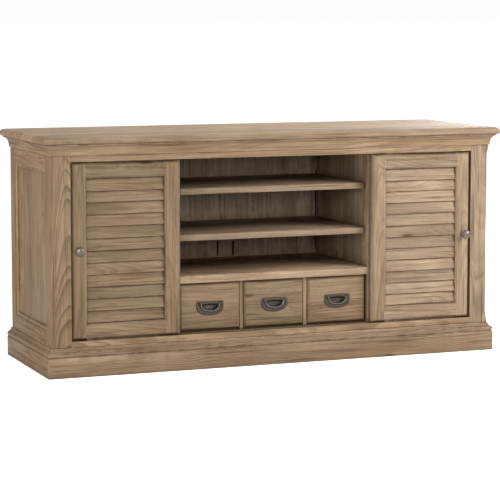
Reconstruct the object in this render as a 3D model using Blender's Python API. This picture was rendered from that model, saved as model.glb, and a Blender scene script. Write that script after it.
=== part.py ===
"""Media console with two sliding louvred doors, an open centre bay and three small drawers.

Metres, +Z up.  The origin is at the middle of the footprint, on the floor; the doors face -Y.
Every piece is its own closed solid.  Pieces that touch keep the clearance GAP between them.
"""
import math

import bmesh
import bpy
from mathutils import Vector

# ------------------------------------------------------------------ clearances
GAP = 0.0003                 # between two pieces that touch
MITRE_GAP = 0.0002           # taken off each half of a mitre
DOOR_SIDE_GAP = 0.003        # closed door to front post
DOOR_END_GAP = 0.003         # door to the rails above and below it
DOOR_BACK_GAP = 0.003        # sliding door to the partitions behind it
DRAWER_REVEAL = 0.0015       # drawer front to divider or partition
DRAWER_TOP_GAP = 0.003       # drawer front to the deck above it
DRAWER_FOOT_GAP = 0.0065     # drawer front to the floor
DRAWER_SIDE_CLEAR = 0.005    # drawer box inside its front's width
DRAWER_BACK_CLEAR = 0.030    # drawer box to the back panel
CUP_CLEAR = 0.0004           # pull cup inside its pocket

# ------------------------------------------------------------------ case
CASE_WIDTH = 1.640           # over the posts
CASE_DEPTH = 0.520
HEIGHT = 0.812               # floor to the upper face of the top
TOP_THICK = 0.025
TOP_OVERHANG = 0.032
TOP_NOSE_HEIGHT = 0.010      # widest line of the top's edge above its underside
TOP_ROUND_IN = 0.020         # how far the upper round reaches in over the top
TOP_UNDER_ROUND = 0.007
CROWN_HEIGHT = 0.039
CROWN_PROJECTION = 0.0215
CROWN_FILLET = 0.005
CROWN_FOOT = 0.0045
PLINTH_HEIGHT = 0.070
PLINTH_PROJECTION = 0.017
PLINTH_ROUND = 0.003
BASE_BACK = 0.006            # base stands this far behind the case
CAP_TOP = 0.099
CAP_GROOVE_DEPTH = 0.0035
CAP_GROOVE_HEIGHT = 0.004
CAP_NOSE_HEIGHT = 0.011
CAP_ROUND = 0.004
CAP_STEP = 0.0015            # small step between the nose and the cove
CAP_LIP = 0.0035             # what is left of the cap at its upper edge
POST_WIDTH = 0.069
FRONT_POST_DEPTH = 0.066
REAR_POST_DEPTH = 0.057
REAR_POST_THICK = 0.030
POST_CHAMFER = 0.0125
CHAMFER_STOP = 0.004         # plain length of post beyond the crown or the cap
CHAMFER_TAPER = 0.036
CHAMFER_LEAST = 0.0006
SIDE_FRAME_THICK = 0.024
SIDE_RAIL_SHOW = 0.053       # side rail below the crown, and above the cap
SIDE_PANEL_RECESS = 0.011
SIDE_PANEL_THICK = 0.008
PANEL_MOULD_WIDTH = 0.011
PANEL_MOULD_SET = 0.002
PANEL_MOULD_FLAT = 0.002
PANEL_MOULD_IN = 0.001       # how far the moulding is let into the panel
RAIL_DEPTH = 0.028           # face-frame rails, front to back
TOP_RAIL_SHOW = 0.0214       # face-frame top rail below the crown
RAIL_LOW = 0.060             # underside of the rails behind the plinth
FLOOR_LEVEL = 0.1207         # upper face of the bottom rail and of the cabinet floor
FLOOR_THICK = 0.018
REAR_RAIL_HEIGHT = 0.060
BACK_RECESS = 0.036          # face of the back panels in front of the case's back
BACK_THICK = 0.008
BOARD_WIDTH = 0.062          # beaded boards of the back panels
BOARD_GROOVE = 0.003

# ------------------------------------------------------------------ centre bay
BAY_WIDTH = 0.708
PARTITION_THICK = 0.020
DECK_LEVEL = 0.3207
DECK_THICK = 0.0274
SHELF_THICK = 0.022
SHELF_SETBACK = 0.0235       # shelf edge behind the partition's edge
SHELF_END_GAP = 0.0015
UPPER_SHELF_SHARE = 0.739    # shelf tops, as shares of the way from the deck to the top rail
LOWER_SHELF_SHARE = 0.343
VENT_WIDTH = 0.008           # open strip through the back beside each partition
VENT_INSET = 0.012
CORD_SLOT_WIDTH = 0.008
CORD_SLOT_HEIGHT = 0.055
CORD_SLOT_LOW = 0.004        # above the deck
CORD_SLOTS_X = (-0.045, 0.016)
PIN_RADIUS = 0.0027
PIN_HOLE_RADIUS = 0.0030
PIN_HOLE_DEPTH = 0.008
PIN_OUT = 0.007
PIN_FROM_EDGE = 0.037        # hole rows from the partition's front edge and from the back panel
PIN_PITCH = 0.038
PIN_HOLES_EACH_WAY = 1       # spare holes above and below each shelf
SIDE_SHELF_SHARE = 0.461     # of the way from the floor to the top rail
SIDE_SHELF_SETBACK = 0.045
CLEAT_HEIGHT = 0.025
CLEAT_THICK = 0.015
CLEAT_SETBACK = 0.020
CLEAT_IN = 0.001             # how far a cleat is let into its panel

# ------------------------------------------------------------------ doors and their tracks
DOOR_SETBACK = 0.0025        # door face behind the face frame's face
DOOR_THICK = 0.023
DOOR_REVEAL = 0.008          # closed door's inner edge to the bay's edge
DOOR_EDGE_CHAMFER = 0.0095
DOOR_FRAME_WIDTH = 0.054
DOOR_STICKING = 0.007        # bevel round the louvres, across and in depth
DOOR_STICKING_DEPTH = 0.0065
DOOR_LIP_DEPTH = 0.008       # back of the lip in front of the louvre pack
LOUVRE_REBATE = 0.006
SLAT_PITCH = 0.041
SLAT_OVERLAP = 0.005
SLAT_THICK = 0.006
SLAT_LIP_DEPTH = 0.0083      # lower lip of a slat behind the door's face
SLAT_TOP_DEPTH = 0.0227      # back of its upper edge behind the door's face
SLAT_IN = 0.004              # slat let into each end strip
DOOR_MEETING_GAP = 0.010     # between the two doors when both are slid to the middle
TRACK_WALL = 0.0012
TRACK_INNER = 0.006
TRACK_DEPTH = 0.008
TONGUE_THICK = 0.005
TONGUE_SET = 0.0005          # tongue behind the bevel of the door's edge
KNOB_RADIUS = 0.016
KNOB_PROJECTION = 0.030
KNOB_SHARE = 0.504           # knob's height, as a share of the door's
KNOB_FOOT = 0.0125           # radius of its foot
KNOB_FOOT_THICK = 0.0025
KNOB_SHOULDER = 0.0090       # radius and distance out where the foot narrows
KNOB_SHOULDER_OUT = 0.0040
KNOB_NECK = 0.0052
KNOB_NECK_OUT = 0.0075
KNOB_CAP = (                 # from the neck to the cap: (share of its radius, behind its front)
    (0.325, 0.0140), (0.470, 0.0115), (0.844, 0.0095), (1.000, 0.0070),
    (0.925, 0.0042), (0.688, 0.0014), (0.375, 0.0002),
)

# ------------------------------------------------------------------ drawers and pulls
DRAWER_FRONT_SET = 0.040     # drawer face behind the face frame's face
DRAWER_FRONT_THICK = 0.020
DRAWER_CHAMFER = 0.008
EDGE_EASE = 0.0025           # front arrises of the shelves and the deck
DIVIDER_THICK = 0.014
BOX_HEIGHT = 0.115
BOX_WALL = 0.010
BOX_BOTTOM = 0.005
BOX_BOTTOM_RAISE = 0.006
PULL_WIDTH = 0.099
PULL_HEIGHT = 0.0485
PULL_SHOULDER = 0.019        # straight side of the plate
PULL_THICK = 0.0025
PULL_BEVEL = 0.0012
PULL_DROP = 0.0067           # pull's middle below the drawer front's middle
CUP_WIDTH = 0.058
CUP_HEIGHT = 0.023
CUP_FROM_TOP = 0.010
CUP_DEPTH = 0.010
CUP_WALL = 0.0012
CUP_ARCH = 0.0015
CUP_LIP = 0.0010             # rounded edge where the cup meets the plate
CUP_TAPER = 0.006            # how much smaller the cup's bottom is, all round
CUP_WALL_TAPER = 0.002       # of that, what the wall takes before the bottom's curve
CUP_BOTTOM_CURVE = 0.003
OVAL_FULLNESS = 0.9          # below 1, a curve a little squarer than an ellipse
BAIL_WIDTH = 0.067
BAIL_DROP = 0.0255
BAIL_RADIUS = 0.0019
BAIL_FROM_TOP = 0.0075       # pivot below the plate's upper edge
BAIL_PIN_LENGTH = 0.006
BAIL_BEND = 0.003            # height of the bend from pin to bar
BAIL_SIDES = 8
LUG_WIDTH = 0.0045
LUG_WALL = 0.0016
LUG_CLEAR = 0.0004
LUG_IN = 0.0010              # how far a staple is let into the plate

# ------------------------------------------------------------------ places worked out from the sizes
FRONT = -CASE_DEPTH / 2
BACK = CASE_DEPTH / 2
SIDE = CASE_WIDTH / 2
UNDER_TOP = HEIGHT - TOP_THICK
CROWN_LOW = UNDER_TOP - CROWN_HEIGHT
OPENING_TOP = CROWN_LOW - TOP_RAIL_SHOW
OPENING_SIDE = SIDE - POST_WIDTH
UPPER_SHELF_LEVEL = DECK_LEVEL + UPPER_SHELF_SHARE * (OPENING_TOP - DECK_LEVEL)
LOWER_SHELF_LEVEL = DECK_LEVEL + LOWER_SHELF_SHARE * (OPENING_TOP - DECK_LEVEL)
SIDE_SHELF_LEVEL = FLOOR_LEVEL + SIDE_SHELF_SHARE * (OPENING_TOP - FLOOR_LEVEL)
BACK_FACE = BACK - BACK_RECESS
BAY_SIDE = BAY_WIDTH / 2
PARTITION_Y = FRONT + DOOR_SETBACK + DOOR_THICK + DOOR_BACK_GAP
FLOOR_Y = FRONT + RAIL_DEPTH + GAP
DOOR_Y = FRONT + DOOR_SETBACK
DOOR_INNER = BAY_SIDE + DOOR_REVEAL
DOOR_WIDTH = OPENING_SIDE - DOOR_SIDE_GAP - DOOR_INNER
DOOR_LOW = FLOOR_LEVEL + DOOR_END_GAP
DOOR_HEIGHT = OPENING_TOP - DOOR_END_GAP - DOOR_LOW
DOOR_CENTRE = DOOR_INNER + DOOR_WIDTH / 2
TONGUE_Y = DOOR_EDGE_CHAMFER + TONGUE_SET + TONGUE_THICK / 2
TRACK_Y = DOOR_Y + TONGUE_Y
TRACK_OUTER = TRACK_INNER + 2 * TRACK_WALL
GROOVE_WIDTH = TRACK_OUTER + 2 * GAP
DRAWER_Y = FRONT + DRAWER_FRONT_SET
DRAWER_FRONT_WIDTH = (BAY_WIDTH - 2 * DIVIDER_THICK - 6 * DRAWER_REVEAL) / 3
DRAWER_PITCH = DRAWER_FRONT_WIDTH + DIVIDER_THICK + 2 * DRAWER_REVEAL
DRAWER_LOW = FLOOR_LEVEL + DRAWER_FOOT_GAP
DRAWER_HEIGHT = DECK_LEVEL - DECK_THICK - DRAWER_TOP_GAP - DRAWER_LOW
BOX_LOW = FLOOR_LEVEL + GAP - DRAWER_LOW
BOX_SIDE = DRAWER_FRONT_WIDTH / 2 - DRAWER_SIDE_CLEAR
BOX_LENGTH = BACK_FACE - DRAWER_BACK_CLEAR - DRAWER_Y - DRAWER_FRONT_THICK - GAP
PULL_MIDDLE = DRAWER_HEIGHT / 2 - PULL_DROP
PULL_TOP = PULL_HEIGHT / 2
BAIL_PIVOT_Z = PULL_TOP - BAIL_FROM_TOP
BAIL_PIVOT_Y = -PULL_THICK - LUG_CLEAR - BAIL_RADIUS

SIDES = ((-1, "left"), (1, "right"))
DRAWERS = ((-1, "left"), (0, "centre"), (1, "right"))

# ------------------------------------------------------------------ finishes
OAK = (0.42, 0.32, 0.22)
OAK_SHADE = (0.30, 0.23, 0.16)
OAK_INSIDE = (0.24, 0.19, 0.14)
PEWTER = (0.20, 0.19, 0.17)
STEEL = (0.45, 0.44, 0.42)


# ------------------------------------------------------------------ helpers
def clear_scene():
    for obj in list(bpy.data.objects):
        bpy.data.objects.remove(obj, do_unlink=True)


def finish(name, colour, roughness=0.6, metallic=0.0):
    material = bpy.data.materials.new(name + "_finish")
    material.use_nodes = True
    shader = material.node_tree.nodes["Principled BSDF"]
    shader.inputs["Base Color"].default_value = (*colour, 1.0)
    shader.inputs["Roughness"].default_value = roughness
    shader.inputs["Metallic"].default_value = metallic
    return material


def loft(rings, bm=None):
    """A closed solid through rings of points, all with the same number of points."""
    bm = bm or bmesh.new()
    loops = [[bm.verts.new(point) for point in ring] for ring in rings]
    faces = [bm.faces.new(loops[0]), bm.faces.new(loops[-1])]
    for here, there in zip(loops, loops[1:]):
        for i in range(len(here)):
            j = (i + 1) % len(here)
            faces.append(bm.faces.new((here[i], here[j], there[j], there[i])))
    bmesh.ops.recalc_face_normals(bm, faces=faces)
    return bm


def block(low, high, bm=None):
    """A rectangular solid between two corners."""
    return loft([rectangle(low, high, z) for z in (low[2], high[2])], bm)


def rectangle(low, high, z):
    return [(low[0], low[1], z), (high[0], low[1], z), (high[0], high[1], z), (low[0], high[1], z)]


def along_x(profile, x0, x1, bm=None):
    """A (y, z) outline swept along X."""
    return loft([[(x, y, z) for y, z in profile] for x in (x0, x1)], bm)


def along_z(outline, z0, z1, bm=None):
    """An (x, y) outline swept along Z."""
    return loft([[(x, y, z) for x, y in outline] for z in (z0, z1)], bm)


def slice_off(bm, point, normal):
    """Cuts a convex solid with a plane, takes away the side the normal points to, and caps it."""
    everything = bm.verts[:] + bm.edges[:] + bm.faces[:]
    cut = bmesh.ops.bisect_plane(
        bm, geom=everything, dist=1e-7, plane_co=point, plane_no=normal, clear_outer=True
    )
    rim = [item for item in cut["geom_cut"] if isinstance(item, bmesh.types.BMEdge)]
    bmesh.ops.edgeloop_fill(bm, edges=rim)
    bmesh.ops.recalc_face_normals(bm, faces=bm.faces)
    return bm


def join(pieces):
    """Several separate solids as one mesh."""
    whole = bmesh.new()
    for piece in pieces:
        mesh = bpy.data.meshes.new("piece")
        piece.to_mesh(mesh)
        piece.free()
        whole.from_mesh(mesh)
        bpy.data.meshes.remove(mesh)
    return whole


def add(name, bm, colour, at=(0, 0, 0), parent=None, roughness=0.6, metallic=0.0, smooth=False):
    """Puts a mesh in the scene as one named piece with its own finish."""
    mesh = bpy.data.meshes.new(name)
    bm.to_mesh(mesh)
    bm.free()
    if smooth:
        mesh.shade_smooth()
        mesh.set_sharp_from_angle(angle=math.radians(40))
    mesh.materials.append(finish(name, colour, roughness, metallic))
    obj = bpy.data.objects.new(name, mesh)
    bpy.context.scene.collection.objects.link(obj)
    obj.parent = parent
    obj.location = at
    return obj


def add_empty(name, at, parent=None):
    obj = bpy.data.objects.new(name, None)
    bpy.context.scene.collection.objects.link(obj)
    obj.parent = parent
    obj.location = at
    return obj


def helper(name, bm, at=(0, 0, 0), parent=None):
    """A cutter or an addition for a Boolean: never part of the model by itself."""
    mesh = bpy.data.meshes.new(name)
    bm.to_mesh(mesh)
    bm.free()
    obj = bpy.data.objects.new(name, mesh)
    bpy.context.scene.collection.objects.link(obj)
    obj.parent = parent
    obj.location = at
    obj.hide_render = True
    obj.display_type = "WIRE"
    return obj


def boolean(obj, other, operation):
    modifier = obj.modifiers.new(operation.lower(), "BOOLEAN")
    modifier.operation = operation
    modifier.solver = "EXACT"
    modifier.object = other


def mirrored(side, low, high):
    """The block's x range on the given side (-1 left, +1 right) of the middle plane."""
    x0, x1 = sorted((side * low[0], side * high[0]))
    return (x0, low[1], low[2]), (x1, high[1], high[2])


def side_block(side, low, high, bm=None):
    return block(*mirrored(side, low, high), bm)


def arc(centre, radii, start, end, steps):
    """Points on an elliptical arc; angles in degrees."""
    points = []
    for i in range(steps + 1):
        a = math.radians(start + (end - start) * i / steps)
        points.append((centre[0] + radii[0] * math.cos(a), centre[1] + radii[1] * math.sin(a)))
    return points


# ------------------------------------------------------------------ top, crown and base
def top_board():
    nose = UNDER_TOP + GAP + TOP_NOSE_HEIGHT
    under = arc((TOP_OVERHANG - TOP_UNDER_ROUND, nose), (TOP_UNDER_ROUND, TOP_NOSE_HEIGHT), -90, 0, 4)
    over = arc((TOP_OVERHANG - TOP_ROUND_IN, nose), (TOP_ROUND_IN, HEIGHT - nose), 0, 90, 6)
    rings = []
    for out, z in under + over[1:]:
        rings.append(rectangle((-SIDE - out, FRONT - out), (SIDE + out, BACK + out), z))
    add("top_board", loft(rings), OAK, smooth=True)


def crown_profile():
    """(projection, z) from the upper inner corner round to the lower inner corner."""
    high = UNDER_TOP
    cove_top = high - CROWN_FILLET
    cove_low = CROWN_LOW + CROWN_FILLET
    deep = CROWN_PROJECTION - CROWN_FOOT
    cove = arc((CROWN_PROJECTION, cove_low), (deep, cove_top - cove_low), 90, 180, 7)
    return [(GAP, high), (CROWN_PROJECTION, high)] + cove + [(CROWN_FOOT, CROWN_LOW), (GAP, CROWN_LOW)]


def base_profile():
    """(projection, z): a tall plinth, a shadow groove, a rounded nose and a cove up to the case."""
    face = PLINTH_PROJECTION
    groove = face - CAP_GROOVE_DEPTH
    nose_low = PLINTH_HEIGHT + CAP_GROOVE_HEIGHT
    nose_high = nose_low + CAP_NOSE_HEIGHT
    r = PLINTH_ROUND
    plinth = [(GAP, 0.0), (face, 0.0)] + arc((face - r, PLINTH_HEIGHT - r), (r, r), 0, 90, 3)
    r = CAP_ROUND
    nose = [(groove, PLINTH_HEIGHT), (groove, nose_low), (face, nose_low)]
    nose += arc((face - r, nose_high - r), (r, r), 0, 90, 3)
    deep = face - r - CAP_LIP
    cove = arc((face - r, CAP_TOP), (deep, CAP_TOP - nose_high - CAP_STEP), 270, 180, 5)
    return plinth + nose + cove + [(GAP, CAP_TOP)]


def front_run(profile, facing=-1):
    """A moulding across the front (or, facing +1, the back), mitred at both ends."""
    face = FRONT if facing < 0 else BACK
    rings = []
    for end in (-1, 1):
        ring = [(end * (SIDE + out - MITRE_GAP), face + facing * out, z) for out, z in profile]
        rings.append(ring)
    return loft(rings)


def side_run(profile, side, square_back=None):
    """A moulding along one side: mitred at the front; mitred or cut square at the back."""
    front_end = [(side * (SIDE + out), FRONT - out + MITRE_GAP, z) for out, z in profile]
    back_end = []
    for out, z in profile:
        y = BACK + out - MITRE_GAP if square_back is None else square_back
        back_end.append((side * (SIDE + out), y, z))
    return loft([front_end, back_end])


def crown_and_base():
    crown = crown_profile()
    base = base_profile()
    end = BACK + BASE_BACK
    add("crown_front", front_run(crown), OAK, smooth=True)
    add("crown_back", front_run(crown, facing=1), OAK, smooth=True)
    add("base_front", front_run(base), OAK, smooth=True)
    for side, word in SIDES:
        add("crown_" + word, side_run(crown, side), OAK, smooth=True)
        add("base_" + word, side_run(base, side, end), OAK, smooth=True)
    add("base_back", block((-SIDE, BACK + GAP, 0.0), (SIDE, end, PLINTH_HEIGHT)), OAK_SHADE)


# ------------------------------------------------------------------ posts, side frames and face frame
def front_post(side):
    """A square post whose outer front corner has a chamfer that runs out at both ends."""
    stops = []
    low = CAP_TOP + CHAMFER_STOP
    high = CROWN_LOW - CHAMFER_STOP
    steps = 5
    for i in range(steps + 1):
        t = i / steps
        ease = t * t * (3 - 2 * t)
        stops.append((low + CHAMFER_TAPER * t, CHAMFER_LEAST + (POST_CHAMFER - CHAMFER_LEAST) * ease))
    levels = [(0.0, CHAMFER_LEAST)] + stops
    levels += [(low + high - z, size) for z, size in reversed(stops)]
    levels += [(UNDER_TOP, CHAMFER_LEAST)]
    rings = []
    for z, size in levels:
        corner = [(SIDE, FRONT + size), (SIDE - size, FRONT)]
        rest = [(OPENING_SIDE, FRONT), (OPENING_SIDE, FRONT + FRONT_POST_DEPTH), (SIDE, FRONT + FRONT_POST_DEPTH)]
        rings.append([(side * x, y, z) for x, y in corner + rest])
    return loft(rings)


def panel_moulding(side, y0, y1, z0, z1):
    """A mitred frame of small rounded moulding, let into the panel it goes round."""
    inner = SIDE - SIDE_PANEL_RECESS - PANEL_MOULD_IN
    outer = SIDE - PANEL_MOULD_SET
    width = PANEL_MOULD_WIDTH
    profile = [(GAP, inner), (GAP, outer)]
    centre = (PANEL_MOULD_FLAT, SIDE - SIDE_PANEL_RECESS + PANEL_MOULD_FLAT)
    radii = (width - PANEL_MOULD_FLAT, outer - centre[1])
    profile += arc(centre, radii, 90, 0, 4)
    profile += [(width, inner)]
    bm = bmesh.new()
    corners = [(y0, z0, 1, 1), (y1, z0, -1, 1), (y1, z1, -1, -1), (y0, z1, 1, -1)]
    loops = []
    for y, z, turn_y, turn_z in corners:
        ring = [(side * x, y + turn_y * inset, z + turn_z * inset) for inset, x in profile]
        loops.append([bm.verts.new(point) for point in ring])
    for i in range(4):
        here = loops[i]
        there = loops[(i + 1) % 4]
        for j in range(len(here)):
            k = (j + 1) % len(here)
            bm.faces.new((here[j], here[k], there[k], there[j]))
    bmesh.ops.recalc_face_normals(bm, faces=bm.faces)
    return bm


def side_frame(side, word):
    add(word + "_front_post", front_post(side), OAK)
    rear_y = BACK - REAR_POST_DEPTH
    low = (SIDE - REAR_POST_THICK, rear_y, 0.0)
    add(word + "_rear_post", side_block(side, low, (SIDE, BACK, UNDER_TOP)), OAK)
    y0 = FRONT + FRONT_POST_DEPTH + GAP
    y1 = rear_y - GAP
    x0 = SIDE - SIDE_FRAME_THICK
    panel_low = CAP_TOP + SIDE_RAIL_SHOW
    panel_high = CROWN_LOW - SIDE_RAIL_SHOW
    low = (x0, y0, RAIL_LOW)
    add(word + "_side_bottom_rail", side_block(side, low, (SIDE, y1, panel_low)), OAK)
    low = (x0, y0, panel_high)
    add(word + "_side_top_rail", side_block(side, low, (SIDE, y1, UNDER_TOP)), OAK)
    face = SIDE - SIDE_PANEL_RECESS
    back = face - SIDE_PANEL_THICK
    low = (back, y0, panel_low + GAP)
    panel = add(word + "_side_panel", side_block(side, low, (face, y1, panel_high - GAP)), OAK)
    frame = panel_moulding(side, y0, y1, panel_low + GAP, panel_high - GAP)
    boolean(panel, helper(word + "_panel_moulding", frame), "UNION")
    top = SIDE_SHELF_LEVEL - SHELF_THICK - GAP
    low = (back - CLEAT_THICK, y0 + CLEAT_SETBACK, top - CLEAT_HEIGHT)
    cleat = side_block(side, low, (back + CLEAT_IN, y1 - CLEAT_SETBACK, top))
    boolean(panel, helper(word + "_panel_cleat", cleat), "UNION")


def grooved(y0, y1, z_plain, z_open):
    """(y, z) outline of a rail with the track's groove in the face at z_open."""
    half = GROOVE_WIDTH / 2
    bottom = z_open + (TRACK_DEPTH if z_open < z_plain else -TRACK_DEPTH)
    return [
        (y0, z_plain), (y0, z_open), (TRACK_Y - half, z_open), (TRACK_Y - half, bottom),
        (TRACK_Y + half, bottom), (TRACK_Y + half, z_open), (y1, z_open), (y1, z_plain),
    ]


def face_frame():
    x = OPENING_SIDE - GAP
    rail = grooved(FRONT, FRONT + RAIL_DEPTH, RAIL_LOW, FLOOR_LEVEL)
    add("face_bottom_rail", along_x(rail, -x, x), OAK)
    rail = grooved(FRONT, FRONT + RAIL_DEPTH, UNDER_TOP, OPENING_TOP)
    add("face_top_rail", along_x(rail, -x, x), OAK)


def channel(z_open, inward):
    """(y, z) outline of the metal track channel; inward is +1 where it opens down."""
    mouth = z_open + inward * GAP
    back = z_open + inward * (TRACK_DEPTH - GAP)
    floor = back - inward * TRACK_WALL
    out = TRACK_OUTER / 2
    inn = TRACK_INNER / 2
    return [
        (TRACK_Y - out, mouth), (TRACK_Y - inn, mouth), (TRACK_Y - inn, floor), (TRACK_Y + inn, floor),
        (TRACK_Y + inn, mouth), (TRACK_Y + out, mouth), (TRACK_Y + out, back), (TRACK_Y - out, back),
    ]


def door_tracks():
    """A channel in each rail, with a stop block at the middle that the doors' tongues run up to."""
    x = OPENING_SIDE - 2 * GAP
    half_stop = DOOR_MEETING_GAP / 2 + DOOR_FRAME_WIDTH + GAP
    half_width = (TRACK_INNER + TRACK_WALL) / 2
    for name, z_open, inward in (("door_bottom_track", FLOOR_LEVEL, -1), ("door_top_track", OPENING_TOP, 1)):
        track = add(name, along_x(channel(z_open, inward), -x, x), STEEL, roughness=0.4, metallic=1.0)
        deep = z_open + inward * (TRACK_DEPTH - GAP - TRACK_WALL / 2)
        z0, z1 = sorted((deep, z_open + inward * (GAP + TRACK_WALL)))
        stop = block((-half_stop, TRACK_Y - half_width, z0), (half_stop, TRACK_Y + half_width, z1))
        boolean(track, helper(name + "_stop", stop), "UNION")


# ------------------------------------------------------------------ floor, partitions, backs and shelves
def cabinet_floor():
    inner = SIDE - SIDE_FRAME_THICK - GAP
    post = OPENING_SIDE - GAP
    rear = SIDE - REAR_POST_THICK - GAP
    post_y = FRONT + FRONT_POST_DEPTH + GAP
    rear_y = BACK - REAR_POST_DEPTH - GAP
    back_y = BACK_FACE + BACK_THICK
    right = [(post, FLOOR_Y), (post, post_y), (inner, post_y), (inner, rear_y), (rear, rear_y), (rear, back_y)]
    left = [(-x, y) for x, y in reversed(right)]
    add("cabinet_floor", along_z(right + left, FLOOR_LEVEL - FLOOR_THICK, FLOOR_LEVEL), OAK_INSIDE)


def pin_rows():
    """(y, z) of every shelf-pin hole, and of those that hold a pin."""
    rows = (PARTITION_Y + PIN_FROM_EDGE, BACK_FACE - PIN_FROM_EDGE)
    used = []
    spare = []
    for level in (UPPER_SHELF_LEVEL, LOWER_SHELF_LEVEL):
        z = level - SHELF_THICK - GAP - PIN_RADIUS
        for y in rows:
            used.append((y, z))
            for k in range(1, PIN_HOLES_EACH_WAY + 1):
                spare += [(y, z - k * PIN_PITCH), (y, z + k * PIN_PITCH)]
    return used, spare


def rod(x0, x1, y, z, radius, sides=8):
    ring = arc((y, z), (radius, radius), 0, 360 - 360 / sides, sides - 1)
    return along_x(ring, x0, x1)


def partitions():
    """Each has its shelf pins, spare pin holes, and on its far side a cleat for the side bay's shelf."""
    used, spare = pin_rows()
    for side, word in SIDES:
        low = (BAY_SIDE, PARTITION_Y, FLOOR_LEVEL + GAP)
        far = BAY_SIDE + PARTITION_THICK
        panel = add(word + "_partition", side_block(side, low, (far, BACK_FACE - GAP, UNDER_TOP)), OAK_INSIDE)
        inside = side * (BAY_SIDE + PIN_HOLE_DEPTH)
        mouth = side * (BAY_SIDE - PIN_OUT)
        holes = [rod(*sorted((inside, mouth)), y, z, PIN_HOLE_RADIUS) for y, z in spare]
        pins = [rod(*sorted((inside, mouth)), y, z, PIN_RADIUS) for y, z in used]
        boolean(panel, helper(word + "_pin_holes", join(holes)), "DIFFERENCE")
        boolean(panel, helper(word + "_shelf_pins", join(pins)), "UNION")
        top = SIDE_SHELF_LEVEL - SHELF_THICK - GAP
        low = (far - CLEAT_IN, PARTITION_Y + SIDE_SHELF_SETBACK + CLEAT_SETBACK, top - CLEAT_HEIGHT)
        cleat = side_block(side, low, (far + CLEAT_THICK, BACK_FACE - CLEAT_SETBACK, top))
        boolean(panel, helper(word + "_partition_cleat", cleat), "UNION")


def beaded_panel(half, z0, z1):
    """The back: V grooves on its front, one at each joint between its boards."""
    count = int(half / BOARD_WIDTH)
    v = BOARD_GROOVE / 2
    front = [(-half, BACK_FACE)]
    for i in range(-count, count):
        x = (i + 0.5) * BOARD_WIDTH
        front += [(x - v, BACK_FACE), (x, BACK_FACE + v), (x + v, BACK_FACE)]
    front.append((half, BACK_FACE))
    rear = BACK_FACE + BACK_THICK
    return along_z(front + [(half, rear), (-half, rear)], z0, z1)


def through_back(x, width, low, high):
    y0 = BACK_FACE - BACK_THICK
    return block((x - width / 2, y0, low), (x + width / 2, y0 + 3 * BACK_THICK, high))


def back_of_case():
    half = SIDE - REAR_POST_THICK - GAP
    panel = add("back_panel", beaded_panel(half, FLOOR_LEVEL + GAP, UNDER_TOP - GAP), OAK_INSIDE)
    low = DECK_LEVEL + CORD_SLOT_LOW
    slots = [through_back(x, CORD_SLOT_WIDTH, low, low + CORD_SLOT_HEIGHT) for x in CORD_SLOTS_X]
    for side in (-1, 1):
        x = side * (BAY_SIDE - VENT_WIDTH / 2 - GAP)
        slots.append(through_back(x, VENT_WIDTH, DECK_LEVEL + VENT_INSET, UPPER_SHELF_LEVEL + VENT_INSET))
    boolean(panel, helper("slots_in_back", join(slots)), "DIFFERENCE")
    y0 = BACK_FACE + BACK_THICK + GAP
    top = (half, BACK, UNDER_TOP)
    add("rear_top_rail", block((-half, y0, UNDER_TOP - REAR_RAIL_HEIGHT), top), OAK_SHADE)
    top = (half, BACK, RAIL_LOW + REAR_RAIL_HEIGHT)
    add("rear_bottom_rail", block((-half, y0, RAIL_LOW), top), OAK_SHADE)


def eased_board(low, high):
    """A shelf or deck whose two front arrises are eased."""
    board = block(low, high)
    slice_off(board, (0, low[1] + EDGE_EASE, high[2]), (0, -1, 1))
    return slice_off(board, (0, low[1] + EDGE_EASE, low[2]), (0, -1, -1))


def shelves():
    x = BAY_SIDE - SHELF_END_GAP
    y0 = PARTITION_Y + SHELF_SETBACK
    y1 = BACK_FACE - 2 * GAP
    for name, level in (("upper_shelf", UPPER_SHELF_LEVEL), ("lower_shelf", LOWER_SHELF_LEVEL)):
        add(name, eased_board((-x, y0, level - SHELF_THICK), (x, y1, level)), OAK)
    x = BAY_SIDE - GAP
    low = (-x, PARTITION_Y, DECK_LEVEL - DECK_THICK)
    add("drawer_deck", eased_board(low, (x, BACK_FACE - GAP, DECK_LEVEL)), OAK)
    low = (BAY_SIDE + PARTITION_THICK + GAP, PARTITION_Y + SIDE_SHELF_SETBACK, SIDE_SHELF_LEVEL - SHELF_THICK)
    outer = SIDE - SIDE_PANEL_RECESS - SIDE_PANEL_THICK - GAP
    high = (outer, BACK - REAR_POST_DEPTH - 2 * GAP, SIDE_SHELF_LEVEL)
    for side, word in SIDES:
        add(word + "_bay_shelf", eased_board(*mirrored(side, low, high)), OAK_INSIDE)


def drawer_dividers():
    z0 = FLOOR_LEVEL + GAP
    z1 = DECK_LEVEL - DECK_THICK - GAP
    for side, word in SIDES:
        x = side * DRAWER_PITCH / 2
        low = (x - DIVIDER_THICK / 2, DRAWER_Y + DRAWER_CHAMFER, z0)
        high = (x + DIVIDER_THICK / 2, BACK_FACE - GAP, z1)
        add(word + "_drawer_divider", block(low, high), OAK)


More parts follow.
